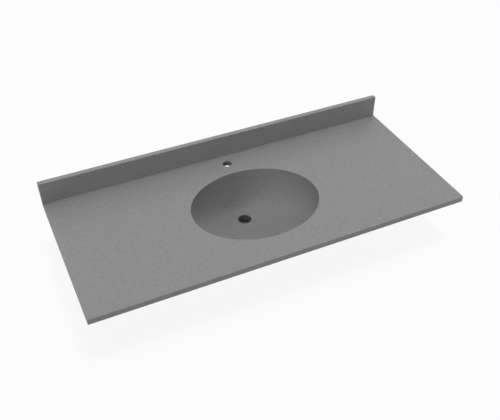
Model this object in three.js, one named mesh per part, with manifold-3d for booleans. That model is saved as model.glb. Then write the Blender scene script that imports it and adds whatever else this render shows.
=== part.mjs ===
// A vanity top with one oval basin: a solid slab with a backsplash bonded to its back edge,
// and a moulded bowl seated in a rebate under the slab, bonded and clamped there.
// Millimetres, +Z up. The origin is the middle of the slab's outline, in the plane of its underside.
// The front faces -Y and the wall side faces +Y.

import * as THREE from 'three';
import { mergeVertices } from 'three/addons/utils/BufferGeometryUtils.js';
import Module from 'manifold-3d';

const wasm = await Module();
wasm.setup();

// Driving sizes of the slab and the backsplash
const top_width = 1244.6;
const top_depth = 558.8;
const deck_thickness = 19.05;
const splash_height = 77;
const splash_thickness = 18;
const edge_ease = 1;
const corner_radius = 3;

// Driving sizes of the basin, the drain and the faucet hole
const basin_half_width = 212.8;
const basin_half_depth = 171.9;
const basin_depth = 139.7;
const basin_floor_fall = 3;
const basin_from_back = 297.4;
const rim_ease = 0.5;
const drain_from_back = 210.5;
const drain_radius = 22.225;
const drain_seat_radius = 30;
const faucet_from_back = 70.7;
const faucet_hole_radius = 17.45;
const faucet_hole_ease = 0.8;

// Driving sizes of the moulded bowl and its seat in the slab
const bowl_wall = 9.5;
const lip_thickness = 12.7;
const seam_thickness = 0.8;
const flange_width = 22;
const flange_thickness = 9.5;
const flange_fillet = 5;
const rebate_clearance = 1;
const splash_joint = 0.8;
const boss_radius = 36;
const boss_proud = 0.6;

// Driving sizes of the overflow
const overflow_drop = 45;
const overflow_slot_width = 32;
const overflow_slot_height = 10;
const duct_width = 42;
const duct_height = 12;
const duct_wall = 3;
const duct_head = 10;
const duct_chamfer = 2;
const port_width = 24;
const port_height = 9;

// Driving sizes of one clamp that holds the bowl's flange up
const stud_radius = 3.175;
const stud_length = 36;
const stud_chamfer = 0.8;
const insert_radius = 4.9;
const insert_length = 12;
const insert_groove = 0.7;
const insert_groove_width = 1.6;
const insert_recess = 0.3;
const clip_width = 20;
const clip_thickness = 2.6;
const clip_reach = 6;
const clip_tail = 14;
const clip_bend_radius = 3;
const clip_slot_length = 14;
const washer_radius = 8;
const washer_thickness = 1.6;
const nut_hub_radius = 5.6;
const nut_hub_height = 6.5;
const nut_taper = 0.9;
const wing_span = 26;
const wing_rise = 8;
const wing_thickness = 2.4;
const wing_tip_radius = 3.6;

// Clearances
const fit_gap = 0.3;
const clip_edge_margin = 5;
const overrun = 5;

// Counts, exponents and angles
const plan_fullness = 2.2;
const depth_fullness = 1.9;
const around_steps = 64;
const basin_steps = 14;
const shell_steps = 11;
const ease_steps = 3;
const hole_steps = 32;
const small_steps = 12;
const duct_steps = 12;
const clip_turns_deg = [0, 52, 128, 180, 232, 308];

// Places worked out from the driving sizes
const back_y = top_depth / 2;
const deck_top = deck_thickness;
const basin_y = back_y - basin_from_back;
const basin_floor = deck_top - basin_depth;
const drain_y = back_y - drain_from_back;
const faucet_y = back_y - faucet_from_back;
const seam_z = deck_thickness - lip_thickness;
const flange_top = seam_z - seam_thickness;
const flange_bottom = flange_top - flange_thickness;
const duct_reach = bowl_wall + fit_gap + duct_height + duct_wall;
const boss_face = basin_floor - duct_reach - boss_proud;

// Looks of the materials
const stone_look = { color: 0x8e8e8d, roughness: 0.42, metalness: 0 };
const bond_look = { color: 0x868685, roughness: 0.6, metalness: 0 };
const brass_look = { color: 0xb8923f, roughness: 0.35, metalness: 1 };
const steel_look = { color: 0xb9bcc0, roughness: 0.38, metalness: 1 };

const vanity_top = new THREE.Group();

// Solids from geometries and back

function solidOf(geometry) {
  const bare = geometry.clone();
  bare.deleteAttribute('normal');
  bare.deleteAttribute('uv');
  const merged = mergeVertices(bare);
  const vertProperties = Float32Array.from(merged.attributes.position.array);
  const triVerts = Uint32Array.from(merged.index.array);
  return new wasm.Manifold(new wasm.Mesh({ numProp: 3, vertProperties, triVerts }));
}

function geometryOf(solid) {
  const mesh = solid.getMesh();
  const geometry = new THREE.BufferGeometry();
  geometry.setAttribute('position', new THREE.BufferAttribute(mesh.vertProperties, 3));
  geometry.setIndex(new THREE.BufferAttribute(mesh.triVerts, 1));
  const flat = geometry.toNonIndexed();
  flat.computeVertexNormals();
  return flat;
}

function addPiece(name, solid, look, group = vanity_top) {
  const piece = new THREE.Mesh(geometryOf(solid), new THREE.MeshStandardMaterial(look));
  piece.name = name;
  group.add(piece);
  return piece;
}

// General shapes

// A solid through rings of points, from the lowest ring to the highest, each anticlockwise from above
function loft(rings) {
  const count = rings[0].length;
  const positions = [];
  for (const point of rings.flat()) {
    positions.push(point.x, point.y, point.z);
  }
  const index = [];
  for (let level = 0; level + 1 < rings.length; level += 1) {
    for (let step = 0; step < count; step += 1) {
      const here = level * count + step;
      const next = level * count + ((step + 1) % count);
      index.push(here, next, next + count, here, next + count, here + count);
    }
  }
  const closeWith = (ring, first, flip) => {
    const middle = new THREE.Vector3();
    ring.forEach((point) => middle.add(point));
    middle.divideScalar(count);
    const centre = positions.length / 3;
    positions.push(middle.x, middle.y, middle.z);
    for (let step = 0; step < count; step += 1) {
      const here = first + step;
      const next = first + ((step + 1) % count);
      index.push(centre, flip ? next : here, flip ? here : next);
    }
  };
  closeWith(rings[0], 0, true);
  closeWith(rings[rings.length - 1], (rings.length - 1) * count, false);
  const geometry = new THREE.BufferGeometry();
  geometry.setAttribute('position', new THREE.Float32BufferAttribute(positions, 3));
  geometry.setIndex(index);
  return solidOf(geometry);
}

function ovalRing(half_width, half_depth, z) {
  const ring = [];
  for (let step = 0; step < around_steps; step += 1) {
    const turn = (step / around_steps) * 2 * Math.PI;
    ring.push(new THREE.Vector3(
      half_width * Math.cos(turn),
      basin_y + half_depth * Math.sin(turn),
      z,
    ));
  }
  return ring;
}

// An oval plate round the basin's centre line, grown from the rim's outline by one offset
function ovalPlate(offset, low, high) {
  const half_width = basin_half_width + offset;
  const half_depth = basin_half_depth + offset;
  return loft([ovalRing(half_width, half_depth, low), ovalRing(half_width, half_depth, high)]);
}

function box(x_low, x_high, y_low, y_high, z_low, z_high) {
  const geometry = new THREE.BoxGeometry(x_high - x_low, y_high - y_low, z_high - z_low);
  geometry.translate((x_low + x_high) / 2, (y_low + y_high) / 2, (z_low + z_high) / 2);
  return solidOf(geometry);
}

// A turned solid on a vertical axis, from its half profile of [radius, height] pairs
function turned(profile, x, y, steps) {
  const points = profile.map(([radius, height]) => new THREE.Vector2(radius, height));
  const geometry = new THREE.LatheGeometry(points, steps);
  geometry.rotateX(Math.PI / 2);
  geometry.translate(x, y, 0);
  return solidOf(geometry);
}

function rod(radius, z_low, z_high, x, y, steps) {
  return turned([[0, z_low], [radius, z_low], [radius, z_high], [0, z_high]], x, y, steps);
}

// A slab with rounded corners in plan and all its edges eased
function easedSlab(width, depth, z_low, z_high, y_middle) {
  const outline = new THREE.Shape();
  const x = width / 2 - corner_radius;
  const y = depth / 2 - corner_radius;
  outline.absarc(x, y, corner_radius, 0, Math.PI / 2);
  outline.absarc(-x, y, corner_radius, Math.PI / 2, Math.PI);
  outline.absarc(-x, -y, corner_radius, Math.PI, 1.5 * Math.PI);
  outline.absarc(x, -y, corner_radius, 1.5 * Math.PI, 2 * Math.PI);
  const geometry = new THREE.ExtrudeGeometry(outline, {
    depth: z_high - z_low - 2 * edge_ease,
    bevelEnabled: true,
    bevelThickness: edge_ease,
    bevelSize: edge_ease,
    bevelOffset: -edge_ease,
    bevelSegments: ease_steps,
    curveSegments: ease_steps,
  });
  geometry.translate(0, y_middle, z_low + edge_ease);
  return solidOf(geometry);
}

// A side outline in the Y-Z plane, carried across in X
function acrossPlate(outline, width, chamfer) {
  const geometry = new THREE.ExtrudeGeometry(outline, {
    depth: width - 2 * chamfer,
    bevelEnabled: chamfer > 0,
    bevelThickness: chamfer,
    bevelSize: chamfer,
    bevelOffset: -chamfer,
    bevelSegments: 1,
    curveSegments: small_steps,
  });
  geometry.translate(0, 0, chamfer - width / 2);
  const turn = new THREE.Matrix4().makeBasis(
    new THREE.Vector3(0, 1, 0),
    new THREE.Vector3(0, 0, 1),
    new THREE.Vector3(1, 0, 0),
  );
  geometry.applyMatrix4(turn);
  return solidOf(geometry);
}

function roundEndedSlot(length, height) {
  const slot = new THREE.Shape();
  const reach = (length - height) / 2;
  slot.absarc(reach, 0, height / 2, -Math.PI / 2, Math.PI / 2);
  slot.absarc(-reach, 0, height / 2, Math.PI / 2, 1.5 * Math.PI);
  return slot;
}

// The basin's inside: ovals that shrink and move back from the rim, sweep 0, to the drain seat, sweep 1

function basinPoint(turn, sweep) {
  const angle = sweep * Math.PI / 2;
  const share = Math.cos(angle) ** (2 / plan_fullness);
  const sink = Math.sin(angle) ** (2 / depth_fullness);
  const drop = (basin_depth - basin_floor_fall) * sink + basin_floor_fall * (1 - share);
  const half_width = drain_seat_radius + (basin_half_width - drain_seat_radius) * share;
  const half_depth = drain_seat_radius + (basin_half_depth - drain_seat_radius) * share;
  const middle_y = drain_y + (basin_y - drain_y) * share;
  return new THREE.Vector3(
    half_width * Math.cos(turn),
    middle_y + half_depth * Math.sin(turn),
    deck_top - drop,
  );
}

function basinNormal(turn, sweep) {
  const probe = 0.002;
  const down = basinPoint(turn, Math.min(sweep + probe, 1));
  down.sub(basinPoint(turn, Math.max(sweep - probe, 0)));
  const around = basinPoint(turn + probe, sweep).sub(basinPoint(turn - probe, sweep));
  return down.cross(around).normalize();
}

function sweepAtDrop(drop) {
  let low = 0;
  let high = 1;
  for (let round = 0; round < 40; round += 1) {
    const middle = (low + high) / 2;
    if (deck_top - basinPoint(0, middle).z < drop) {
      low = middle;
    } else {
      high = middle;
    }
  }
  return (low + high) / 2;
}

// One ring of the basin's surface, moved out from it along its normals
function basinRing(sweep, offset) {
  const ring = [];
  for (let step = 0; step < around_steps; step += 1) {
    const turn = (step / around_steps) * 2 * Math.PI;
    const point = basinPoint(turn, sweep);
    if (offset > 0) {
      point.addScaledVector(basinNormal(turn, sweep), offset);
    }
    ring.push(point);
  }
  return ring;
}

// What is cut away for the water: the eased rim, then the basin down to the flat drain seat
function basinHollow() {
  const rings = [];
  for (let step = basin_steps; step > 0; step -= 1) {
    rings.push(basinRing(step / basin_steps, 0));
  }
  for (let step = ease_steps; step >= 0; step -= 1) {
    const angle = (step / ease_steps) * Math.PI / 2;
    const flare = rim_ease * (1 - Math.sin(angle));
    const drop = rim_ease * (1 - Math.cos(angle));
    rings.push(ovalRing(basin_half_width + flare, basin_half_depth + flare, deck_top - drop));
  }
  const flared_width = basin_half_width + rim_ease;
  const flared_depth = basin_half_depth + rim_ease;
  rings.push(ovalRing(flared_width, flared_depth, deck_top + overrun));
  return loft(rings);
}

// The bowl's outside without its flange, with a fillet up to the flange's underside
function bowlBody(offset) {
  const neck_z = flange_bottom - flange_fillet;
  const neck_sweep = sweepAtDrop(deck_top - neck_z);
  const rings = [];
  for (let step = shell_steps; step > 0; step -= 1) {
    rings.push(basinRing(neck_sweep + (1 - neck_sweep) * (step / shell_steps), offset));
  }
  const neck = basinRing(neck_sweep, offset);
  const neckRing = (grow, z) => neck.map((point) => {
    const outward = new THREE.Vector3(point.x, point.y - basin_y, 0).normalize();
    return new THREE.Vector3(point.x + outward.x * grow, point.y + outward.y * grow, z);
  });
  for (let step = 0; step <= ease_steps; step += 1) {
    const angle = (step / ease_steps) * Math.PI / 2;
    const grow = flange_fillet * (1 - Math.cos(angle));
    rings.push(neckRing(grow, neck_z + flange_fillet * Math.sin(angle)));
  }
  rings.push(neckRing(flange_fillet, (flange_bottom + flange_top) / 2));
  return loft(rings);
}

const basin_hollow = basinHollow();
const drain_bore = rod(drain_radius, boss_face - overrun, basin_floor + overrun, 0, drain_y, hole_steps);

// Clamp places: on an oval outside the rebate, each facing along the oval's normal
function clampPlaces() {
  const offset = flange_width + rebate_clearance + clip_edge_margin + insert_radius;
  const half_width = basin_half_width + offset;
  const half_depth = basin_half_depth + offset;
  return clip_turns_deg.map((turn_deg) => {
    const turn = THREE.MathUtils.degToRad(turn_deg);
    return {
      x: half_width * Math.cos(turn),
      y: basin_y + half_depth * Math.sin(turn),
      facing: Math.atan2(Math.sin(turn) / half_depth, Math.cos(turn) / half_width),
    };
  });
}

const clamp_places = clampPlaces();

// The slab, open over the basin, rebated under the rim for the bowl's flange, and bored for the
// faucet and for the threaded inserts

function makeDeck() {
  const square_back = top_depth + 2 * edge_ease;
  let deck = easedSlab(top_width, square_back, 0, deck_thickness, edge_ease);
  const half_width = top_width / 2 + overrun;
  const past_back = back_y + 2 * edge_ease + overrun;
  deck = deck.subtract(box(-half_width, half_width, back_y, past_back, -overrun, deck_top + overrun));
  deck = deck.subtract(basin_hollow);
  deck = deck.subtract(ovalPlate(flange_width + rebate_clearance, -overrun, seam_z));
  deck = deck.subtract(turned([
    [0, -overrun],
    [faucet_hole_radius, -overrun],
    [faucet_hole_radius, deck_top - faucet_hole_ease],
    [faucet_hole_radius + faucet_hole_ease, deck_top],
    [faucet_hole_radius + faucet_hole_ease, deck_top + overrun],
    [0, deck_top + overrun],
  ], 0, faucet_y, hole_steps));
  const pocket_radius = insert_radius + fit_gap;
  const pocket_top = insert_recess + insert_length + fit_gap;
  for (const place of clamp_places) {
    deck = deck.subtract(rod(pocket_radius, -overrun, pocket_top, place.x, place.y, small_steps));
  }
  addPiece('deck', deck, stone_look);
}

// The backsplash, square where it is bonded to the slab, and the bond under it

function makeBacksplash() {
  const foot_z = deck_top + splash_joint;
  const head_z = deck_top + splash_height;
  const middle_y = back_y - splash_thickness / 2;
  const half_width = top_width / 2 + overrun;
  const front_y = back_y - splash_thickness - overrun;
  let splash = easedSlab(top_width, splash_thickness, foot_z - 2 * edge_ease, head_z, middle_y);
  const below = box(-half_width, half_width, front_y, back_y + overrun, deck_top - overrun, foot_z);
  splash = splash.subtract(below);
  addPiece('backsplash', splash, stone_look);

  const bond_width = top_width / 2 - 2 * edge_ease;
  const bond = box(
    -bond_width,
    bond_width,
    back_y - splash_thickness + edge_ease,
    back_y - edge_ease,
    deck_top,
    foot_z,
  );
  addPiece('backsplash_adhesive', bond, bond_look);
}

// The moulded bowl: an even shell round the basin, its flange, and the drain boss with the port
// that lets overflow water into the drain

function overflowSlot() {
  const wall_y = basinPoint(-Math.PI / 2, sweepAtDrop(overflow_drop)).y;
  const geometry = new THREE.ExtrudeGeometry(
    roundEndedSlot(overflow_slot_width, overflow_slot_height),
    { depth: 2 * (bowl_wall + overrun), bevelEnabled: false, curveSegments: ease_steps * 2 },
  );
  geometry.rotateX(Math.PI / 2);
  geometry.translate(0, wall_y + bowl_wall + overrun, deck_top - overflow_drop);
  return solidOf(geometry);
}

function makeBowl() {
  const boss_root = basin_floor - bowl_wall / 2;
  const port_middle = basin_floor - bowl_wall - fit_gap - duct_height / 2;
  let bowl = bowlBody(bowl_wall);
  bowl = bowl.add(ovalPlate(flange_width, flange_bottom, flange_top));
  bowl = bowl.add(rod(boss_radius, boss_face, boss_root, 0, drain_y, hole_steps));
  bowl = bowl.subtract(basin_hollow);
  bowl = bowl.subtract(drain_bore);
  bowl = bowl.subtract(overflowSlot());
  bowl = bowl.subtract(box(
    -port_width / 2,
    port_width / 2,
    drain_y - boss_radius - overrun,
    drain_y,
    port_middle - port_height / 2,
    port_middle + port_height / 2,
  ));
  addPiece('bowl', bowl, stone_look);

  const seam = ovalPlate(flange_width, flange_top, seam_z).subtract(basin_hollow);
  addPiece('bowl_seam_adhesive', seam, bond_look);
}

// The overflow duct: a trough that follows the bowl's outside from behind the slot to the boss

function ductOutline(first_drop, offset) {
  const outline = new THREE.Shape();
  const front = -Math.PI / 2;
  const first = sweepAtDrop(first_drop);
  const pointAt = (sweep, reach) => {
    const point = basinPoint(front, sweep);
    return point.addScaledVector(basinNormal(front, sweep), reach);
  };
  const start = pointAt(first, bowl_wall / 2);
  outline.moveTo(start.y, start.z);
  for (let step = 0; step <= duct_steps; step += 1) {
    const point = pointAt(first + (1 - first) * (step / duct_steps), offset);
    outline.lineTo(point.y, point.z);
  }
  outline.lineTo(drain_y, basin_floor - offset);
  outline.lineTo(drain_y, basin_floor - bowl_wall / 2);
  for (let step = duct_steps; step > 0; step -= 1) {
    const point = pointAt(first + (1 - first) * (step / duct_steps), bowl_wall / 2);
    outline.lineTo(point.y, point.z);
  }
  outline.closePath();
  return outline;
}

function makeOverflowDuct() {
  const head_drop = overflow_drop - overflow_slot_height / 2 - duct_head;
  const outside = ductOutline(head_drop, duct_reach);
  const inside = ductOutline(head_drop + duct_wall, duct_reach - duct_wall);
  let duct = acrossPlate(outside, duct_width, duct_chamfer);
  duct = duct.subtract(acrossPlate(inside, duct_width - 2 * duct_wall, 0));
  duct = duct.subtract(bowlBody(bowl_wall + fit_gap));
  const boss_room = boss_radius + fit_gap;
  duct = duct.subtract(rod(boss_room, boss_face - overrun, basin_floor, 0, drain_y, hole_steps));
  addPiece('overflow_duct', duct, stone_look);
}

// One clamp: a threaded insert in the slab, a stud, and a bent clip, washer and wing nut under it.
// In its own frame the stud stands on the Z axis and the bowl lies towards -X.

function insertSolid() {
  const low = insert_recess;
  const high = insert_recess + insert_length;
  const bore = stud_radius + fit_gap;
  const groove_low = (low + high - insert_groove_width) / 2;
  const groove_high = (low + high + insert_groove_width) / 2;
  const body = turned([
    [bore, low],
    [insert_radius, low],
    [insert_radius, groove_low],
    [insert_radius - insert_groove, groove_low],
    [insert_radius - insert_groove, groove_high],
    [insert_radius, groove_high],
    [insert_radius, high],
    [bore, high],
    [bore, low],
  ], 0, 0, small_steps);
  return body;
}

const stud_high = insert_recess + insert_length - stud_chamfer;
const stud_low = stud_high - stud_length;
const clip_high = flange_bottom - fit_gap;
const clip_low = clip_high - clip_thickness;
const washer_high = clip_low - fit_gap;
const washer_low = washer_high - washer_thickness;
const nut_high = washer_low - fit_gap;
const nut_low = nut_high - nut_hub_height;

function studSolid() {
  return turned([
    [0, stud_low],
    [stud_radius - stud_chamfer, stud_low],
    [stud_radius, stud_low + stud_chamfer],
    [stud_radius, stud_high - stud_chamfer],
    [stud_radius - stud_chamfer, stud_high],
    [0, stud_high],
  ], 0, 0, small_steps);
}

// The clip is a bent strip: its toe lies under the flange and its heel bears on the slab
function clipSolid() {
  const toe = -(insert_radius + clip_edge_margin + rebate_clearance + clip_reach);
  const heel_top = -fit_gap;
  const inner_bend = clip_bend_radius - clip_thickness;
  const side = new THREE.Shape();
  side.moveTo(toe, clip_high);
  side.lineTo(toe, clip_low);
  side.lineTo(clip_tail - clip_bend_radius, clip_low);
  side.absarc(clip_tail - clip_bend_radius, clip_low + clip_bend_radius, clip_bend_radius, -Math.PI / 2, 0);
  side.lineTo(clip_tail, heel_top);
  side.lineTo(clip_tail - clip_thickness, heel_top);
  side.lineTo(clip_tail - clip_thickness, clip_high + inner_bend);
  side.lineTo(clip_tail - clip_thickness - inner_bend, clip_high);
  side.closePath();
  const geometry = new THREE.ExtrudeGeometry(side, {
    depth: clip_width,
    bevelEnabled: false,
    curveSegments: ease_steps,
  });
  geometry.translate(0, 0, -clip_width / 2);
  geometry.rotateX(Math.PI / 2);
  const slot = new THREE.ExtrudeGeometry(
    roundEndedSlot(clip_slot_length, 2 * (stud_radius + fit_gap)),
    { depth: clip_thickness + 2 * overrun, bevelEnabled: false, curveSegments: small_steps / 3 },
  );
  slot.translate(0, 0, clip_low - overrun);
  return solidOf(geometry).subtract(solidOf(slot));
}

function washerSolid() {
  const bore = stud_radius + fit_gap;
  return turned([
    [bore, washer_low],
    [washer_radius, washer_low],
    [washer_radius, washer_high],
    [bore, washer_high],
    [bore, washer_low],
  ], 0, 0, small_steps);
}

// A wing nut hangs its two wings below a tapered hub
function wingNutSolid() {
  const bore = stud_radius + fit_gap;
  const hub = turned([
    [0, nut_low],
    [nut_hub_radius - nut_taper, nut_low],
    [nut_hub_radius, nut_high],
    [0, nut_high],
  ], 0, 0, small_steps);
  const wings = new THREE.Shape();
  const tip_x = wing_span / 2 - wing_tip_radius;
  const tip_z = nut_low - wing_rise + wing_tip_radius;
  const root_z = nut_low + nut_hub_height / 2;
  wings.moveTo(0, root_z);
  wings.lineTo(-nut_hub_radius, root_z);
  wings.absarc(-tip_x, tip_z, wing_tip_radius, 0.8 * Math.PI, 1.9 * Math.PI);
  wings.lineTo(-nut_hub_radius / 2, nut_low);
  wings.lineTo(nut_hub_radius / 2, nut_low);
  wings.absarc(tip_x, tip_z, wing_tip_radius, 1.1 * Math.PI, 2.2 * Math.PI);
  wings.lineTo(nut_hub_radius, root_z);
  wings.closePath();
  const geometry = new THREE.ExtrudeGeometry(wings, {
    depth: wing_thickness,
    bevelEnabled: false,
    curveSegments: ease_steps * 2,
  });
  geometry.translate(0, 0, -wing_thickness / 2);
  geometry.rotateX(Math.PI / 2);
  const hole = rod(bore, nut_low - wing_rise - overrun, nut_high + overrun, 0, 0, small_steps);
  return hub.add(solidOf(geometry)).subtract(hole);
}

const clamp_pieces = [
  ['bowl_insert', insertSolid(), brass_look],
  ['bowl_stud', studSolid(), steel_look],
  ['bowl_clip', clipSolid(), steel_look],
  ['bowl_washer', washerSolid(), steel_look],
  ['bowl_wing_nut', wingNutSolid(), brass_look],
];

function makeClamps() {
  clamp_places.forEach((place, count) => {
    const clamp = new THREE.Group();
    clamp.position.set(place.x, place.y, 0);
    clamp.rotation.z = place.facing;
    for (const [name, solid, look] of clamp_pieces) {
      addPiece(`${name}_${count + 1}`, solid, look, clamp);
    }
    vanity_top.add(clamp);
  });
}

makeDeck();
makeBacksplash();
makeBowl();
makeOverflowDuct();
makeClamps();

export default vanity_top;
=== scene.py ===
# A vanity top with one oval basin and a low backsplash, on a white ground.
# Metres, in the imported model's frame: +X to the right, +Y to the wall, +Z up.

import math

import bmesh
import bpy
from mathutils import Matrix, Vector


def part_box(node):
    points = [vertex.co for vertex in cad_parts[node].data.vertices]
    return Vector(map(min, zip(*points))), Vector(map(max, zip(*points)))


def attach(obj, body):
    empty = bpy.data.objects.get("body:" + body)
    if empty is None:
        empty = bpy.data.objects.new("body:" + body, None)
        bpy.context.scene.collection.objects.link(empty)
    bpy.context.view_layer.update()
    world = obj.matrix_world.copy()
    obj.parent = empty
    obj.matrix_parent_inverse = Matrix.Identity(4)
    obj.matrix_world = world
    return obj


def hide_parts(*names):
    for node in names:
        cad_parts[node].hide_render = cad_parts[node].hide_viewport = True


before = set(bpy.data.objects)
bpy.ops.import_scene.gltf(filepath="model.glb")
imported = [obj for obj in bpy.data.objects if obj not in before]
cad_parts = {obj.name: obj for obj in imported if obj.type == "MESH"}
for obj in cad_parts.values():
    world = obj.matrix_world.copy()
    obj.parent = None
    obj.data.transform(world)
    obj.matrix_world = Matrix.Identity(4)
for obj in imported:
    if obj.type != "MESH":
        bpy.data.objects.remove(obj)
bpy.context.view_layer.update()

# Camera: fitted to the object's edges, rim and holes in the 500 x 420 photograph

photo_width = 500
photo_height = 420
focal_pixels = 692.87
principal_pixel = (253.379, 233.098)
camera_place = (-0.73792, -1.57804, 1.42974)
camera_pitch = math.radians(41.833)
camera_yaw = math.radians(-25.078)
sensor_width = 36.0
clip_near = 0.05
clip_far = 200.0

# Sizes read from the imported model

deck_low, deck_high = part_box("deck")
splash_low, splash_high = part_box("backsplash")
bowl_low, bowl_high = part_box("bowl")
clip_low, clip_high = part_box("bowl_clip_1")
insert_low, insert_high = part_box("bowl_insert_1")
stud_low, stud_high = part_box("bowl_stud_1")
washer_low, washer_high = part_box("bowl_washer_1")
nut_low, nut_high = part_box("bowl_wing_nut_1")
deck_top = deck_high.z
back_y = deck_high.y
flange_top = bowl_high.z
boss_face = bowl_low.z

# The gap between pieces that touch, and how far a cutter reaches past what it cuts

fit_gap = 0.0003
overrun = 0.005

# Sizes of the slab, the backsplash's bead and the faucet hole

edge_ease = 0.0006
corner_radius = 0.003
wiped_depth = 0.0001
faucet_from_back = 0.0683
faucet_y = back_y - faucet_from_back
faucet_hole_radius = 0.0159
faucet_ease = 0.0002

# Sizes of the basin, its flange and its drain. The wall's section is a superellipse, whose two
# exponents are the fullnesses: with 2 for both it is a quarter of an ellipse.

rim_ease = 0.0004
flange_width = 0.022
flange_thickness = 0.0095
flange_fillet = 0.005
flange_bottom = flange_top - flange_thickness
basin_half_width = bowl_high.x - flange_width
basin_half_depth = (bowl_high.y - bowl_low.y) / 2 - flange_width
basin_y = (bowl_high.y + bowl_low.y) / 2
basin_depth = 0.1397
basin_floor = deck_top - basin_depth
basin_floor_fall = 0.003
plan_fullness = 2.2
depth_fullness = 1.9
bowl_wall = 0.0095
seam_z = 0.00635
rebate_clearance = 0.001
drain_from_back = 0.2105
drain_y = back_y - drain_from_back
drain_radius = 0.022225
drain_seat_radius = 0.030
drain_ease = 0.0010
boss_radius = 0.036
boss_fillet = 0.003
boss_sweep = 0.985
hole_ease = 0.0008

# Sizes of the overflow

overflow_drop = 0.045
overflow_slot_width = 0.032
overflow_slot_height = 0.010
duct_width = 0.042
duct_height = 0.012
duct_wall = 0.003
duct_head = 0.010
duct_round = 0.0035
port_width = 0.024
port_height = 0.009

# Sizes of one clamp, and the turns at which the six stand round the basin. A thread flank above
# 1 leaves a flat crest.

clip_edge_margin = 0.005
insert_radius = 0.0049
insert_length = 0.012
insert_recess = 0.0003
stud_radius = 0.003175
stud_chamfer = 0.0008
thread_pitch = 0.00127
thread_depth = 0.00062
thread_flank = 1.2
clip_thickness = 0.0026
clip_bend_radius = 0.003
clip_slot_length = 0.014
clip_edge_round = 0.0004
nut_hub_radius = 0.0056
nut_hub_height = 0.0065
nut_taper = 0.0009
wing_thickness = 0.0024
wing_tip_radius = 0.0036
left_wing_arc_deg = (144, 342)
right_wing_arc_deg = (198, 396)
metal_edge_round = 0.0003
clip_turns_deg = (0, 52, 128, 180, 232, 308)

# Mesh densities, and how often the search for a place on the wall halves its range

around_steps = 192
wall_steps = 44
ease_steps = 6
hole_steps = 96
small_steps = 48
duct_steps = 48
turns_steps = 24
inner_bend_steps = 3
steps_per_pitch = 6
bevel_segments = 2
halvings = 40

# Shared mesh work


def link(name, mesh):
    piece = bpy.data.objects.new(name, mesh)
    bpy.context.scene.collection.objects.link(piece)
    return piece


def outward_faces(piece):
    work = bmesh.new()
    work.from_mesh(piece.data)
    bmesh.ops.recalc_face_normals(work, faces=work.faces)
    work.to_mesh(piece.data)
    work.free()


def mesh_piece(name, points, faces):
    mesh = bpy.data.meshes.new(name)
    mesh.from_pydata([tuple(point) for point in points], [], faces)
    mesh.validate()
    piece = link(name, mesh)
    outward_faces(piece)
    return piece


def quads_between(first, second, count):
    faces = []
    for step in range(count):
        following = (step + 1) % count
        faces.append((first + step, first + following, second + following, second + step))
    return faces


def loft(name, rings, ends="capped"):
    """A solid through rings of points: capped at both ends, or joined last ring to first."""
    count = len(rings[0])
    points = [point for ring in rings for point in ring]
    faces = []
    for level in range(len(rings) - 1):
        faces += quads_between(level * count, (level + 1) * count, count)
    last = (len(rings) - 1) * count
    if ends == "joined":
        faces += quads_between(last, 0, count)
    else:
        faces.append(tuple(range(count)))
        faces.append(tuple(range(last, last + count)))
    return mesh_piece(name, points, faces)


def apply_modifiers(piece):
    bpy.context.view_layer.update()
    depsgraph = bpy.context.evaluated_depsgraph_get()
    mesh = bpy.data.meshes.new_from_object(piece.evaluated_get(depsgraph))
    old = piece.data
    piece.modifiers.clear()
    piece.data = mesh
    mesh.name = piece.name
    bpy.data.meshes.remove(old)
    return piece


def combine(piece, other, operation, solver="EXACT"):
    """Cuts other out of piece, or joins it on, and deletes other."""
    modifier = piece.modifiers.new("combine", "BOOLEAN")
    modifier.operation = operation
    modifier.solver = solver
    modifier.object = other
    apply_modifiers(piece)
    bpy.data.objects.remove(other)
    return piece


def cut(piece, *cutters, solver="EXACT"):
    for cutter in cutters:
        combine(piece, cutter, "DIFFERENCE", solver)
    return piece


def round_edges(piece, radius, limit_deg=40):
    bevel = piece.modifiers.new("round_edges", "BEVEL")
    bevel.width = radius
    bevel.segments = bevel_segments
    bevel.limit_method = "ANGLE"
    bevel.angle_limit = math.radians(limit_deg)
    return apply_modifiers(piece)


def shade(piece, sharp_angle_deg=32, area_weight=100):
    """Smooth curves, crisp corners, and flat faces that stay flat beside eased edges."""
    mesh = piece.data
    mesh.polygons.foreach_set("use_smooth", [True] * len(mesh.polygons))
    mesh.set_sharp_from_angle(angle=math.radians(sharp_angle_deg))
    weighted = piece.modifiers.new("even_normals", "WEIGHTED_NORMAL")
    weighted.keep_sharp = True
    weighted.weight = area_weight
    weighted.mode = "FACE_AREA"
    return apply_modifiers(piece)


def circle(radius, z, x=0.0, y=0.0, steps=hole_steps):
    ring = []
    for step in range(steps):
        turn = 2 * math.pi * step / steps
        ring.append(Vector((x + radius * math.cos(turn), y + radius * math.sin(turn), z)))
    return ring


def turned(name, profile, x=0.0, y=0.0, steps=hole_steps, ends="capped"):
    """A turned solid on a vertical axis from (radius, height) pairs."""
    return loft(name, [circle(radius, z, x, y, steps) for radius, z in profile], ends)


def oval(offset, z):
    """The basin's rim, moved out by offset."""
    ring = []
    for step in range(around_steps):
        turn = 2 * math.pi * step / around_steps
        x = (basin_half_width + offset) * math.cos(turn)
        y = basin_y + (basin_half_depth + offset) * math.sin(turn)
        ring.append(Vector((x, y, z)))
    return ring


def quarter_round(radius):
    """Pairs of (inset, drop) along a quarter round, from the flat face down to the side."""
    pairs = []
    for step in range(ease_steps + 1):
        angle = math.pi / 2 * step / ease_steps
        pairs.append((radius * (1 - math.sin(angle)), radius * (1 - math.cos(angle))))
    return pairs


def shares(start, end, steps):
    return [start + (end - start) * step / steps for step in range(steps + 1)]


def block(name, low, high):
    corners = ((low.x, low.y), (high.x, low.y), (high.x, high.y), (low.x, high.y))
    rings = []
    for z in (low.z, high.z):
        rings.append([Vector((x, y, z)) for x, y in corners])
    return loft(name, rings)


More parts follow.
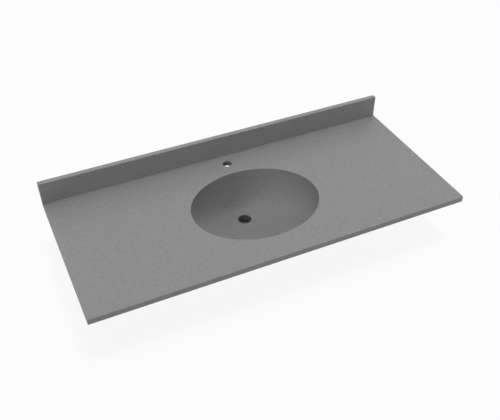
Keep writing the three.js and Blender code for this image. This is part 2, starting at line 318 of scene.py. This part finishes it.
# The basin's surface: ovals that shrink and move back from the rim, sweep 0, to the seat, sweep 1


def basin_point(turn, sweep):
    angle = sweep * math.pi / 2
    share = max(math.cos(angle), 0.0) ** (2 / plan_fullness)
    sink = math.sin(angle) ** (2 / depth_fullness)
    drop = (basin_depth - basin_floor_fall) * sink + basin_floor_fall * (1 - share)
    half_width = drain_seat_radius + (basin_half_width - drain_seat_radius) * share
    half_depth = drain_seat_radius + (basin_half_depth - drain_seat_radius) * share
    middle_y = drain_y + (basin_y - drain_y) * share
    x = half_width * math.cos(turn)
    y = middle_y + half_depth * math.sin(turn)
    return Vector((x, y, deck_top - drop))


def basin_normal(turn, sweep):
    probe = 0.002
    down = basin_point(turn, min(sweep + probe, 1)) - basin_point(turn, max(sweep - probe, 0))
    around = basin_point(turn + probe, sweep) - basin_point(turn - probe, sweep)
    return down.cross(around).normalized()


def sweep_at_drop(drop):
    """Where the wall lies at the given depth under the slab's top."""
    low, high = 0.0, 1.0
    for _ in range(halvings):
        middle = (low + high) / 2
        if deck_top - basin_point(0, middle).z < drop:
            low = middle
        else:
            high = middle
    return (low + high) / 2


def basin_ring(sweep, offset=0.0):
    ring = []
    for step in range(around_steps):
        turn = 2 * math.pi * step / around_steps
        point = basin_point(turn, sweep)
        if offset:
            point = point + basin_normal(turn, sweep) * offset
        ring.append(point)
    return ring


def basin_hollow(name, top_z):
    """What the water fills, with the eased rim of the slab's cut-out."""
    rings = [basin_ring(sweep) for sweep in shares(1, 0, wall_steps)[:-1]]
    for inset, drop in reversed(quarter_round(rim_ease)):
        rings.append(oval(inset, deck_top - drop))
    rings.append(oval(rim_ease, top_z))
    return loft(name, rings)


# The slab and the backsplash


def rounded_outline(low, high, inset, z):
    """A rectangle with round corners, moved in by inset, anticlockwise from above."""
    ring = []
    radius = corner_radius - inset
    corners = [(high.x, high.y, 0), (low.x, high.y, 1), (low.x, low.y, 2), (high.x, low.y, 3)]
    for x, y, quarter in corners:
        side_x = 1 if x == high.x else -1
        side_y = 1 if y == high.y else -1
        centre = Vector((x - side_x * (inset + radius), y - side_y * (inset + radius), z))
        for step in range(ease_steps + 1):
            turn = math.pi / 2 * (quarter + step / ease_steps)
            ring.append(centre + Vector((math.cos(turn), math.sin(turn), 0)) * radius)
    return ring


def eased_slab(name, low, high):
    rings = []
    for inset, drop in quarter_round(edge_ease):
        rings.append(rounded_outline(low, high, inset, low.z + drop))
        rings.append(rounded_outline(low, high, inset, high.z - drop))
    return loft(name, sorted(rings, key=lambda ring: ring[0].z))


def clamp_places():
    """Where each clamp's stud stands, and the turn that faces it away from the bowl."""
    offset = flange_width + rebate_clearance + clip_edge_margin + insert_radius
    half_width = basin_half_width + offset
    half_depth = basin_half_depth + offset
    places = []
    for turn_deg in clip_turns_deg:
        turn = math.radians(turn_deg)
        x = half_width * math.cos(turn)
        y = basin_y + half_depth * math.sin(turn)
        facing = math.atan2(math.sin(turn) / half_depth, math.cos(turn) / half_width)
        places.append((x, y, facing))
    return places


def make_deck():
    """The slab, with a square back edge that the backsplash's back carries on."""
    spare_back = Vector((deck_high.x, back_y + 2 * edge_ease, deck_top))
    slab = eased_slab("slab", deck_low, spare_back)
    past = Vector((overrun, overrun, overrun))
    behind_low = Vector((deck_low.x, back_y, 0)) - Vector((overrun, 0, overrun))
    behind = block("behind", behind_low, spare_back + past)
    hollow = basin_hollow("hollow", deck_top + overrun)
    rebate_offset = flange_width + rebate_clearance
    rebate = loft("rebate", [oval(rebate_offset, -overrun), oval(rebate_offset, seam_z)])
    profile = [(faucet_hole_radius, -overrun)]
    for inset, drop in reversed(quarter_round(faucet_ease)):
        profile.append((faucet_hole_radius + inset, deck_top - drop))
    profile.append((faucet_hole_radius + faucet_ease, deck_top + overrun))
    faucet_hole = turned("faucet_hole", profile, 0, faucet_y)
    cut(slab, behind, hollow, rebate, faucet_hole)
    pocket_radius = insert_radius + fit_gap
    pocket_top = insert_recess + insert_length + fit_gap
    for x, y, _ in clamp_places():
        profile = [(pocket_radius, -overrun), (pocket_radius, pocket_top)]
        cut(slab, turned("pocket", profile, x, y, small_steps))
    slab.name = "slab_top"
    return slab


def make_backsplash():
    """The bar on the slab's back edge, with its foot cut square."""
    low = splash_low - Vector((0, 0, 2 * edge_ease))
    bar = eased_slab("splash_bar", low, splash_high)
    far = Vector((overrun, overrun, 0))
    below_high = Vector((splash_high.x, splash_high.y, splash_low.z)) + far
    below = block("below", low - far - Vector((0, 0, overrun)), below_high)
    return cut(bar, below)


def make_splash_bond():
    """The bead under the backsplash, wiped off just inside its faces."""
    inset = Vector((wiped_depth, wiped_depth, 0))
    low = Vector((splash_low.x, splash_low.y, deck_top)) + inset
    high = Vector((splash_high.x, splash_high.y, splash_low.z)) - inset
    return block("splash_bead", low, high)


# The moulded bowl, its bond and its overflow


def grown(ring, reach, z):
    """A ring moved out from the basin's middle by reach, to a new height."""
    moved = []
    for point in ring:
        outward = Vector((point.x, point.y - basin_y, 0)).normalized()
        moved.append(Vector((point.x, point.y, z)) + outward * reach)
    return moved


def neck_rings(offset):
    """The bowl's outside from the drain's boss up to the flange, at one offset from the basin."""
    neck_z = flange_bottom - flange_fillet
    neck_sweep = sweep_at_drop(deck_top - neck_z)
    rings = [basin_ring(sweep, offset) for sweep in shares(boss_sweep, neck_sweep, wall_steps)]
    neck = rings[-1]
    for inset, drop in reversed(quarter_round(flange_fillet)[:-1]):
        rings.append(grown(neck, inset, flange_bottom - drop))
    return rings


def drain_circle(radius, z):
    return circle(radius, z, 0, drain_y, around_steps)


def bowl_rings():
    """The bowl's whole section as rings: inside, drain bore, boss, outside, flange."""
    rim_sweep = sweep_at_drop(deck_top - flange_top)
    rings = [basin_ring(sweep) for sweep in shares(rim_sweep, 1, wall_steps)]
    for inset, drop in quarter_round(drain_ease):
        rings.append(drain_circle(drain_radius + inset, basin_floor - drop))
    for inset, drop in reversed(quarter_round(hole_ease)):
        rings.append(drain_circle(drain_radius + inset, boss_face + drop))
    for inset, drop in quarter_round(hole_ease):
        rings.append(drain_circle(boss_radius - inset, boss_face + drop))
    for inset, drop in reversed(quarter_round(boss_fillet)):
        rings.append(drain_circle(boss_radius + inset, basin_floor - bowl_wall - drop))
    rings += neck_rings(bowl_wall)
    for inset, drop in reversed(quarter_round(hole_ease)):
        rings.append(oval(flange_width - inset, flange_bottom + drop))
    rings.append(oval(flange_width, flange_top))
    return rings


def slot_ring(width, height, y, z):
    """A slot with round ends, upright and square to the Y axis."""
    ring = []
    reach = (width - height) / 2
    half_turn_steps = 2 * ease_steps
    for side, start in ((1, -math.pi / 2), (-1, math.pi / 2)):
        for step in range(half_turn_steps + 1):
            turn = start + math.pi * step / half_turn_steps
            x = side * reach + height / 2 * math.cos(turn)
            ring.append(Vector((x, y, z + height / 2 * math.sin(turn))))
    return ring


def make_bowl():
    """The bowl with its two openings. Here only the manifold solver cuts the same in each run."""
    bowl = loft("basin_bowl", bowl_rings(), ends="joined")
    wall_y = basin_point(-math.pi / 2, sweep_at_drop(overflow_drop)).y
    slot_z = deck_top - overflow_drop
    reach = bowl_wall + overrun
    slot_rings = []
    for y in (wall_y - reach, wall_y + reach):
        slot_rings.append(slot_ring(overflow_slot_width, overflow_slot_height, y, slot_z))
    slot = loft("slot", slot_rings)
    port_y = drain_y - boss_radius - overrun
    port_z = basin_floor - bowl_wall - fit_gap - duct_height / 2
    port_low = Vector((-port_width / 2, port_y, port_z - port_height / 2))
    port_high = Vector((port_width / 2, drain_y, port_z + port_height / 2))
    port = block("port", port_low, port_high)
    return cut(bowl, slot, port, solver="MANIFOLD")


def make_seam():
    low_ring = basin_ring(sweep_at_drop(deck_top - flange_top))
    high_ring = basin_ring(sweep_at_drop(deck_top - seam_z))
    rings = [oval(flange_width, flange_top), oval(flange_width, seam_z), high_ring, low_ring]
    return loft("bowl_bond", rings, ends="joined")


def duct_ring(x, first_drop, offset):
    """The duct's side outline at one x: out along the bowl's front and back through its wall."""
    front = -math.pi / 2
    first = sweep_at_drop(first_drop)
    buried = bowl_wall / 2
    ring = []
    for sweep in shares(first, 1, duct_steps):
        point = basin_point(front, sweep) + basin_normal(front, sweep) * offset
        ring.append(Vector((x, point.y, point.z)))
    ring.append(Vector((x, drain_y, basin_floor - offset)))
    ring.append(Vector((x, drain_y, basin_floor - buried)))
    for sweep in shares(1, first, duct_steps):
        point = basin_point(front, sweep) + basin_normal(front, sweep) * buried
        ring.append(Vector((x, point.y, point.z)))
    return ring


def make_duct():
    reach = bowl_wall + fit_gap + duct_height + duct_wall
    first_drop = overflow_drop - overflow_slot_height / 2 - duct_head
    rings = []
    for inset, drop in quarter_round(duct_round):
        for side in (-1, 1):
            x = side * (duct_width / 2 - drop)
            rings.append(duct_ring(x, first_drop + inset, reach - inset))
    rings.sort(key=lambda ring: ring[0].x)
    duct = loft("drain_duct", rings)
    inner_rings = []
    for side in (-1, 1):
        x = side * (duct_width / 2 - duct_wall)
        inner_rings.append(duct_ring(x, first_drop + duct_wall, reach - duct_wall))
    body = neck_rings(bowl_wall + fit_gap)
    bowl_room = loft("bowl_room", body + [grown(body[-1], 0, flange_top)])
    room_radius = boss_radius + fit_gap
    room_profile = [(room_radius, boss_face - overrun), (room_radius, basin_floor)]
    boss_room = turned("boss_room", room_profile, 0, drain_y)
    return cut(duct, loft("duct_room", inner_rings), bowl_room, boss_room)


# One clamp in its own frame: the stud stands on the Z axis and the bowl lies towards -X. The
# sizes come from clamp 1, whose stud is on the basin's long axis.


def own_x(corner):
    return corner.x - clamp_places()[0][0]


def make_insert():
    low = insert_low.z
    high = insert_high.z
    bore = stud_radius + fit_gap
    ease = metal_edge_round
    profile = [
        (bore, low + ease), (bore + ease, low), (insert_radius - ease, low),
        (insert_radius, low + ease), (insert_radius, high - ease),
        (insert_radius - ease, high), (bore + ease, high), (bore, high - ease),
    ]
    return turned("threaded_insert", profile, steps=small_steps, ends="joined")


def make_stud():
    """A threaded rod: the ridge climbs one pitch a turn, and both ends are chamfered."""
    low = stud_low.z
    high = stud_high.z
    count = round((high - low) / thread_pitch * steps_per_pitch)
    rings = []
    for z in shares(low, high, count):
        ring = []
        end = min(z - low, high - z)
        limit = stud_radius - max(stud_chamfer - end, 0)
        for step in range(turns_steps):
            turn = 2 * math.pi * step / turns_steps
            phase = (z - low) / thread_pitch - step / turns_steps
            height = abs((phase % 1) - 0.5) * 2
            groove = thread_depth * (1 - min(height * thread_flank, 1))
            radius = min(stud_radius - groove, limit)
            ring.append(Vector((radius * math.cos(turn), radius * math.sin(turn), z)))
        rings.append(ring)
    return loft("threaded_stud", rings)


def arc(x, z, radius, start_deg, end_deg, steps=ease_steps):
    points = []
    for turn_deg in shares(start_deg, end_deg, steps):
        turn = math.radians(turn_deg)
        points.append((x + radius * math.cos(turn), z + radius * math.sin(turn)))
    return points


def across_plate(name, outline, half_width):
    """A plate with an outline of (x, z) pairs, as thick as twice half_width in Y."""
    rings = []
    for y in (-half_width, half_width):
        rings.append([Vector((x, y, z)) for x, z in outline])
    return loft(name, rings)


def make_clip():
    """A bent strip: the toe lies under the flange, and the heel stands up at the tail."""
    toe = own_x(clip_low)
    tail = own_x(clip_high)
    low = clip_low.z
    plate_top = low + clip_thickness
    heel_top = clip_high.z
    bend_x = tail - clip_bend_radius
    bend_z = low + clip_bend_radius
    inner_radius = clip_bend_radius - clip_thickness
    outline = [(toe, plate_top), (toe, low)]
    outline += arc(bend_x, bend_z, clip_bend_radius, -90, 0)
    outline += [(tail, heel_top), (tail - clip_thickness, heel_top)]
    outline += arc(bend_x, bend_z, inner_radius, 0, -90, inner_bend_steps)
    clip = across_plate("bent_clip", outline, (clip_high.y - clip_low.y) / 2)
    slot_rings = []
    flat_slot = slot_ring(clip_slot_length, 2 * (stud_radius + fit_gap), 0, 0)
    for z in (low - overrun, plate_top + overrun):
        slot_rings.append([Vector((point.x, point.z, z)) for point in flat_slot])
    cut(clip, loft("clip_slot", slot_rings))
    return round_edges(clip, clip_edge_round)


def make_washer():
    low = washer_low.z
    high = washer_high.z
    bore = stud_radius + fit_gap
    rim = own_x(washer_high)
    ease = metal_edge_round
    profile = [
        (bore, low + ease), (bore + ease, low), (rim - 2 * ease, low), (rim, low + 2 * ease),
        (rim, high - ease), (rim - ease, high), (bore + ease, high), (bore, high - ease),
    ]
    return turned("flat_washer", profile, steps=small_steps, ends="joined")


def make_wing_nut():
    """A tapered hub with a plate across it, whose two round ends are the wings."""
    hub_high = nut_high.z
    hub_low = hub_high - nut_hub_height
    wing_low = nut_low.z
    bore = stud_radius + fit_gap
    ease = 2 * metal_edge_round
    low_radius = nut_hub_radius - nut_taper
    hub = turned("hub", [
        (low_radius - ease, hub_low), (low_radius, hub_low + ease),
        (nut_hub_radius, hub_high - ease), (nut_hub_radius - ease, hub_high),
    ], steps=small_steps)
    tip_x = (nut_high.x - nut_low.x) / 2 - wing_tip_radius
    tip_z = wing_low + wing_tip_radius
    tip_steps = 2 * ease_steps
    root_z = hub_low + nut_hub_height / 2
    outline = [(-nut_hub_radius, root_z)]
    outline += arc(-tip_x, tip_z, wing_tip_radius, *left_wing_arc_deg, tip_steps)
    outline += [(-nut_hub_radius / 2, hub_low), (nut_hub_radius / 2, hub_low)]
    outline += arc(tip_x, tip_z, wing_tip_radius, *right_wing_arc_deg, tip_steps)
    outline += [(nut_hub_radius, root_z)]
    wings = across_plate("wings", outline, wing_thickness / 2)
    round_edges(wings, 2 * metal_edge_round)
    combine(hub, wings, "UNION")
    hole_profile = [(bore, wing_low - overrun), (bore, hub_high + overrun)]
    cut(hub, turned("hole", hole_profile, steps=small_steps))
    hub.name = "wing_nut"
    return hub


# Materials: every pattern is laid out in metres on the object itself. A noise texture's values
# lie nearly all between noise_low and noise_high. The coarse grains have only a share of the
# strength of the fine ones.

noise_low = 0.3
noise_high = 0.7
coarse_dark_share = 0.45
coarse_light_share = 0.4


class Recipe:
    """A material's nodes, and short ways to add and join them."""

    def __init__(self, name):
        self.material = bpy.data.materials.new(name)
        self.material.use_nodes = True
        self.tree = self.material.node_tree
        self.shader = self.tree.nodes["Principled BSDF"]
        self.place = self.tree.nodes.new("ShaderNodeTexCoord").outputs["Object"]

    def node(self, kind, settings=None, **inputs):
        made = self.tree.nodes.new(kind)
        for key, value in (settings or {}).items():
            setattr(made, key, value)
        for key, value in inputs.items():
            self.feed(made.inputs[key.replace("_", " ")], value)
        return made

    def feed(self, socket, value):
        if isinstance(value, bpy.types.NodeSocket):
            self.tree.links.new(value, socket)
        else:
            socket.default_value = value

    def noise(self, size, detail=2.0, roughness=0.5):
        return self.node("ShaderNodeTexNoise", Vector=self.place, Scale=1 / size, Detail=detail,
                         Roughness=roughness).outputs["Fac"]

    def grains(self, size):
        """A random value from 0 to 1 for each cell of about the given size."""
        cells = self.node("ShaderNodeTexVoronoi", Vector=self.place, Scale=1 / size)
        split = self.node("ShaderNodeSeparateColor", Color=cells.outputs["Color"])
        return split.outputs["Red"]

    def math(self, operation, first, second):
        made = self.node("ShaderNodeMath", {"operation": operation})
        self.feed(made.inputs[0], first)
        self.feed(made.inputs[1], second)
        return made.outputs["Value"]

    def span(self, value, low, high, to_low, to_high):
        """Carries low to high over to to_low to to_high, and holds both ends."""
        made = self.node("ShaderNodeMapRange")
        for key, number in (("Value", value), ("From Min", low), ("From Max", high),
                            ("To Min", to_low), ("To Max", to_high)):
            self.feed(made.inputs[key], number)
        return made.outputs["Result"]

    def spread(self, noise, to_low, to_high):
        return self.span(noise, noise_low, noise_high, to_low, to_high)

    def waver(self, noise, reach):
        """A factor that lies within reach of 1."""
        return self.spread(noise, 1.0 - reach, 1.0 + reach)

    def product(self, values):
        total = values[0]
        for value in values[1:]:
            total = self.math("MULTIPLY", total, value)
        return total

    def tinted(self, colour, factor):
        scaled = self.node("ShaderNodeVectorMath", {"operation": "SCALE"})
        self.feed(scaled.inputs[0], colour)
        self.feed(scaled.inputs["Scale"], factor)
        return scaled.outputs["Vector"]

    def colour(self, colour, factor):
        self.feed(self.shader.inputs["Base Color"], self.tinted(colour, factor))

    def roughness(self, value):
        self.feed(self.shader.inputs["Roughness"], value)

    def bump(self, height, strength, distance):
        made = self.node("ShaderNodeBump", Height=height, Strength=strength, Distance=distance)
        self.feed(self.shader.inputs["Normal"], made.outputs["Normal"])


def grey(tone):
    return (tone, tone, tone)


def mineral_grain(recipe, dark, light):
    """The flecks of the mineral-filled mix: soft mottling, and sparse dark and light grains."""
    dark_spot = dark * coarse_dark_share
    light_spot = light * coarse_light_share
    fine = recipe.grains(size=0.0011)
    coarse = recipe.grains(size=0.0034)
    return recipe.product([
        recipe.waver(recipe.noise(size=0.050, detail=3.0), reach=0.015),
        recipe.waver(recipe.noise(size=0.0105, detail=3.0, roughness=0.55), reach=0.061),
        recipe.span(fine, low=0.86, high=0.90, to_low=1.0, to_high=1.0 - dark),
        recipe.span(fine, low=0.08, high=0.12, to_low=1.0 + light, to_high=1.0),
        recipe.span(coarse, low=0.90, high=0.93, to_low=1.0, to_high=1.0 - dark_spot),
        recipe.span(coarse, low=0.06, high=0.09, to_low=1.0 + light_spot, to_high=1.0),
    ])


def solid_surface(name, tone):
    """Satin mineral-filled stone, sheet or casting, sanded to an even sheen."""
    recipe = Recipe(name)
    recipe.colour(grey(tone), mineral_grain(recipe, dark=0.20, light=0.11))
    sheen_patches = recipe.spread(recipe.noise(size=0.05), to_low=-0.02, to_high=0.02)
    fine_sheen = recipe.spread(recipe.noise(size=0.0009), to_low=0.57, to_high=0.63)
    recipe.roughness(recipe.math("ADD", sheen_patches, fine_sheen))
    recipe.shader.inputs["Specular IOR Level"].default_value = 0.35
    sanding = recipe.noise(size=0.0006, detail=3.0, roughness=0.6)
    recipe.bump(sanding, strength=0.12, distance=0.00004)
    return recipe.material


def moulded_back(name, colour):
    """The unsanded outside of a moulded piece: the same mix, duller and faintly rippled."""
    recipe = Recipe(name)
    recipe.colour(colour, mineral_grain(recipe, dark=0.20, light=0.16))
    dull = recipe.noise(size=0.012, detail=4.0, roughness=0.6)
    recipe.roughness(recipe.spread(dull, to_low=0.55, to_high=0.68))
    ripple = recipe.noise(size=0.006, detail=4.0, roughness=0.55)
    recipe.bump(ripple, strength=0.25, distance=0.0003)
    return recipe.material


def bore_with_painted_shade(name, tone):
    """The wall of a drilled hole: the same mix, unsanded and ringed by the drill; its darker tone
    is painted shade.
    """
    recipe = Recipe(name)
    recipe.colour(grey(tone), mineral_grain(recipe, dark=0.20, light=0.10))
    recipe.roughness(recipe.spread(recipe.noise(size=0.003), to_low=0.68, to_high=0.80))
    rings = recipe.node("ShaderNodeTexWave", {"bands_direction": "Z"}, Vector=recipe.place,
                        Scale=900.0, Distortion=1.5, Detail=2.0)
    recipe.bump(rings.outputs["Fac"], strength=0.3, distance=0.00008)
    return recipe.material


def adhesive(name, colour):
    """A cured bead, wiped flush: matt, with faint drag marks, and pin holes as spots of painted
    shade.
    """
    recipe = Recipe(name)
    blotch = recipe.waver(recipe.noise(size=0.004, detail=3.0, roughness=0.6), reach=0.05)
    cells = recipe.grains(size=0.0006)
    # Pin holes: small spots painted darker, as painted shade in the pits.
    pin_hole_shade = recipe.span(cells, low=0.955, high=0.97, to_low=1.0, to_high=0.7)
    recipe.colour(colour, recipe.product([blotch, pin_hole_shade]))
    recipe.roughness(recipe.spread(recipe.noise(size=0.002), to_low=0.52, to_high=0.66))
    recipe.bump(recipe.noise(size=0.0008, detail=3.0), strength=0.3, distance=0.0001)
    return recipe.material


def metal(name, colour, stain, gloss_low, gloss_high, mark_size, mark_strength):
    """A small metal part: tone and gloss that vary over it, dulled patches and fine marks."""
    recipe = Recipe(name)
    recipe.shader.inputs["Metallic"].default_value = 1.0
    tone = recipe.waver(recipe.noise(size=0.006, detail=4.0, roughness=0.6), reach=stain)
    patches = recipe.noise(size=0.0025, detail=3.0)
    dull = recipe.span(patches, low=0.55, high=0.75, to_low=1.0, to_high=1.0 - stain)
    recipe.colour(colour, recipe.product([tone, dull]))
    recipe.roughness(recipe.spread(recipe.noise(mark_size, detail=3.0), gloss_low, gloss_high))
    marks = recipe.noise(mark_size, detail=4.0, roughness=0.6)
    recipe.bump(marks, mark_strength, distance=0.00006)
    return recipe.material


stone = solid_surface("solid_surface", tone=0.252)
# The bowl's casting is toned a shade darker than the sheet: painted shade for the basin's hollow.
stone_cast = solid_surface("cast_surface", tone=0.247)
stone_back = moulded_back("moulded_back", colour=(0.250, 0.250, 0.249))
# The faucet hole's wall is toned darker than the sheet: painted shade inside the hole.
faucet_hole_shade = bore_with_painted_shade("faucet_hole_shade", tone=0.150)
# The drain's bore is toned darker than the sheet: painted shade inside the drain.
drain_bore_shade = bore_with_painted_shade("drain_bore_shade", tone=0.178)
bond = adhesive("adhesive", colour=(0.235, 0.235, 0.232))
steel = metal("zinc_plate", colour=(0.66, 0.67, 0.69), stain=0.08, gloss_low=0.31,
              gloss_high=0.47, mark_size=0.0012, mark_strength=0.25)
turned_brass = metal("turned_brass", colour=(0.72, 0.56, 0.25), stain=0.06, gloss_low=0.26,
                     gloss_high=0.42, mark_size=0.0007, mark_strength=0.2)
cast_brass = metal("cast_brass", colour=(0.68, 0.53, 0.25), stain=0.10, gloss_low=0.35,
                   gloss_high=0.51, mark_size=0.0009, mark_strength=0.4)

# Camera


def make_camera():
    data = bpy.data.cameras.new("camera")
    data.sensor_width = sensor_width
    data.lens = focal_pixels / photo_width * sensor_width
    data.shift_x = (photo_width / 2 - principal_pixel[0]) / photo_width
    data.shift_y = (principal_pixel[1] - photo_height / 2) / photo_width
    data.clip_start = clip_near
    data.clip_end = clip_far
    camera = bpy.data.objects.new("camera", data)
    camera.location = camera_place
    camera.rotation_euler = (math.pi / 2 - camera_pitch, 0, camera_yaw)
    bpy.context.scene.collection.objects.link(camera)
    bpy.context.scene.camera = camera


make_camera()

# The finished pieces. A bore's faces are told from the flat ones round it by how far their
# normals lean from level: its wall alone, or its wall and most of its eased lip.

wall_lean = 0.2
lip_lean = 0.9


def paint(piece, material):
    piece.data.materials.clear()
    piece.data.materials.append(material)


def settle(piece, slot_name, *nodes):
    """Gives a finished piece its body and hides the nodes it stands for; its slot name is not
    used.
    """
    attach(piece, "root")
    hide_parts(*nodes)


def wear(piece, material, slot_name, *nodes):
    paint(piece, material)
    settle(piece, slot_name, *nodes)


def paint_bore_shade(piece, material, radius, y, lean):
    """Gives the faces inside a vertical bore in the piece's middle a second material, of painted
    shade.
    """
    piece.data.materials.append(material)
    index = len(piece.data.materials) - 1
    for face in piece.data.polygons:
        away = math.hypot(face.center.x, face.center.y - y)
        if abs(face.normal.z) < lean and away < radius + fit_gap:
            face.material_index = index


deck = shade(make_deck())
wear(deck, stone, "solid_surface", "deck")
# The faucet hole's wall takes the darker material: painted shade inside the hole.
paint_bore_shade(deck, faucet_hole_shade, faucet_hole_radius, faucet_y, wall_lean)
wear(shade(make_backsplash()), stone, "solid_surface", "backsplash")
wear(make_splash_bond(), bond, "colour_matched_adhesive", "backsplash_adhesive")
bowl = shade(make_bowl())
wear(bowl, stone_cast, "solid_surface", "bowl")
# The drain's bore and most of its lip take the darker material: painted shade inside the drain.
paint_bore_shade(bowl, drain_bore_shade, drain_radius + drain_ease, drain_y, lip_lean)
wear(shade(make_seam()), bond, "colour_matched_adhesive", "bowl_seam_adhesive")
wear(shade(make_duct()), stone_back, "solid_surface", "overflow_duct")

hardware = (
    (make_insert, turned_brass, "insert_brass", "bowl_insert"),
    (make_stud, steel, "plated_steel", "bowl_stud"),
    (make_clip, steel, "plated_steel", "bowl_clip"),
    (make_washer, steel, "plated_steel", "bowl_washer"),
    (make_wing_nut, cast_brass, "nut_brass", "bowl_wing_nut"),
)

for make, material, slot_name, node in hardware:
    pattern = shade(make())
    paint(pattern, material)
    for count, (x, y, facing) in enumerate(clamp_places(), start=1):
        piece = link(pattern.name + "_" + str(count), pattern.data)
        piece.location = (x, y, 0)
        piece.rotation_euler = (0, 0, facing)
        settle(piece, slot_name, node + "_" + str(count))
    bpy.data.objects.remove(pattern)

# Floor: white where the camera, a reflection or glass sees it, a pale grey for all other light,
# and see-through from below. It takes the object's shadow: a small share of it is lit by the
# lamps, whose level on a flat floor is lamp_level. Inside the drain's boss it is painted dark
# for every ray: a painted shadow under the boss.

floor_white = 0.982
floor_grey = 0.62
drain_shadow_grey = 0.08
lamp_level = 0.875
shadow_share = 0.10
floor_gap = 0.0005
floor_reach = 30.0


def make_floor():
    z = boss_face - floor_gap
    corners = ((-1, -1), (1, -1), (1, 1), (-1, 1))
    mesh = bpy.data.meshes.new("floor")
    mesh.from_pydata([(x * floor_reach, y * floor_reach, z) for x, y in corners],
                     [], [(0, 1, 2, 3)])
    ground = link("floor", mesh)
    recipe = Recipe("floor")
    tree = recipe.tree
    tree.nodes.remove(recipe.shader)
    # The disc under the drain's boss is painted dark for every ray: a painted shadow.
    from_drain = recipe.node("ShaderNodeVectorMath", {"operation": "DISTANCE"})
    recipe.feed(from_drain.inputs[0], recipe.place)
    recipe.feed(from_drain.inputs[1], (0, drain_y, z))
    outside = recipe.math("GREATER_THAN", from_drain.outputs["Value"], boss_radius)
    tone = recipe.span(outside, 0, 1, drain_shadow_grey, floor_grey)
    plain = recipe.node("ShaderNodeBsdfDiffuse", Color=recipe.tinted((1, 1, 1), tone))
    lit = recipe.node("ShaderNodeBsdfDiffuse", Color=(*grey(shadow_share), 1))
    glow_level = floor_white - shadow_share * lamp_level
    glow = recipe.node("ShaderNodeEmission", Color=(1, 1, 1, 1), Strength=glow_level)
    white = recipe.node("ShaderNodeAddShader")
    recipe.feed(white.inputs[0], lit.outputs[0])
    recipe.feed(white.inputs[1], glow.outputs[0])
    rays = recipe.node("ShaderNodeLightPath")
    seen = recipe.math("MAXIMUM", rays.outputs["Is Camera Ray"], rays.outputs["Is Glossy Ray"])
    seen = recipe.math("MAXIMUM", seen, rays.outputs["Is Transmission Ray"])
    upper = recipe.node("ShaderNodeMixShader", Fac=recipe.math("MULTIPLY", seen, outside))
    recipe.feed(upper.inputs[1], plain.outputs[0])
    recipe.feed(upper.inputs[2], white.outputs[0])
    clear = recipe.node("ShaderNodeBsdfTransparent")
    facing = recipe.node("ShaderNodeNewGeometry")
    both = recipe.node("ShaderNodeMixShader", Fac=facing.outputs["Backfacing"])
    recipe.feed(both.inputs[1], upper.outputs[0])
    recipe.feed(both.inputs[2], clear.outputs[0])
    recipe.feed(tree.nodes["Material Output"].inputs["Surface"], both.outputs[0])
    ground.data.materials.append(recipe.material)


make_floor()

# Light: soft lamps round the object. Each row has its height above the horizon, the side that it
# comes from, its width in the sky, and its strength. Side 0 is the front, and 90 is the right.

lamps = (
    ("lamp_above", 78, 90, 20, 1.093),
    ("lamp_front_left_low", 20, 315, 45, 0.892),
    ("lamp_front_left", 30, 315, 20, 0.506),
    ("lamp_right", 30, 90, 20, 0.399),
    ("lamp_back_right", 30, 135, 20, 0.238),
    ("lamp_back_low", 20, 180, 45, 0.537),
    ("lamp_back", 45, 180, 45, 0.192),
    ("lamp_back_high", 70, 180, 45, 0.515),
)


def make_sky():
    """White where the camera, a reflection or glass sees it, and dark for all other light."""
    world = bpy.data.worlds.new("world")
    bpy.context.scene.world = world
    world.use_nodes = True
    nodes = world.node_tree.nodes
    links = world.node_tree.links
    background = nodes["Background"]
    background.inputs["Color"].default_value = (1, 1, 1, 1)
    rays = nodes.new("ShaderNodeLightPath")
    seen = rays.outputs["Is Camera Ray"]
    for kind in ("Is Glossy Ray", "Is Transmission Ray"):
        either = nodes.new("ShaderNodeMath")
        either.operation = "MAXIMUM"
        links.new(seen, either.inputs[0])
        links.new(rays.outputs[kind], either.inputs[1])
        seen = either.outputs["Value"]
    level = nodes.new("ShaderNodeMath")
    level.operation = "MULTIPLY"
    links.new(seen, level.inputs[0])
    level.inputs[1].default_value = floor_white
    links.new(level.outputs["Value"], background.inputs["Strength"])


def make_lamps():
    for name, height_deg, from_deg, width_deg, energy in lamps:
        data = bpy.data.lights.new(name, "SUN")
        data.energy = energy
        data.angle = math.radians(width_deg)
        lamp = bpy.data.objects.new(name, data)
        lamp.rotation_euler = (math.radians(90 - height_deg), 0, math.radians(from_deg))
        bpy.context.scene.collection.objects.link(lamp)


make_sky()
make_lamps()
bpy.context.scene.view_settings.view_transform = "Standard"
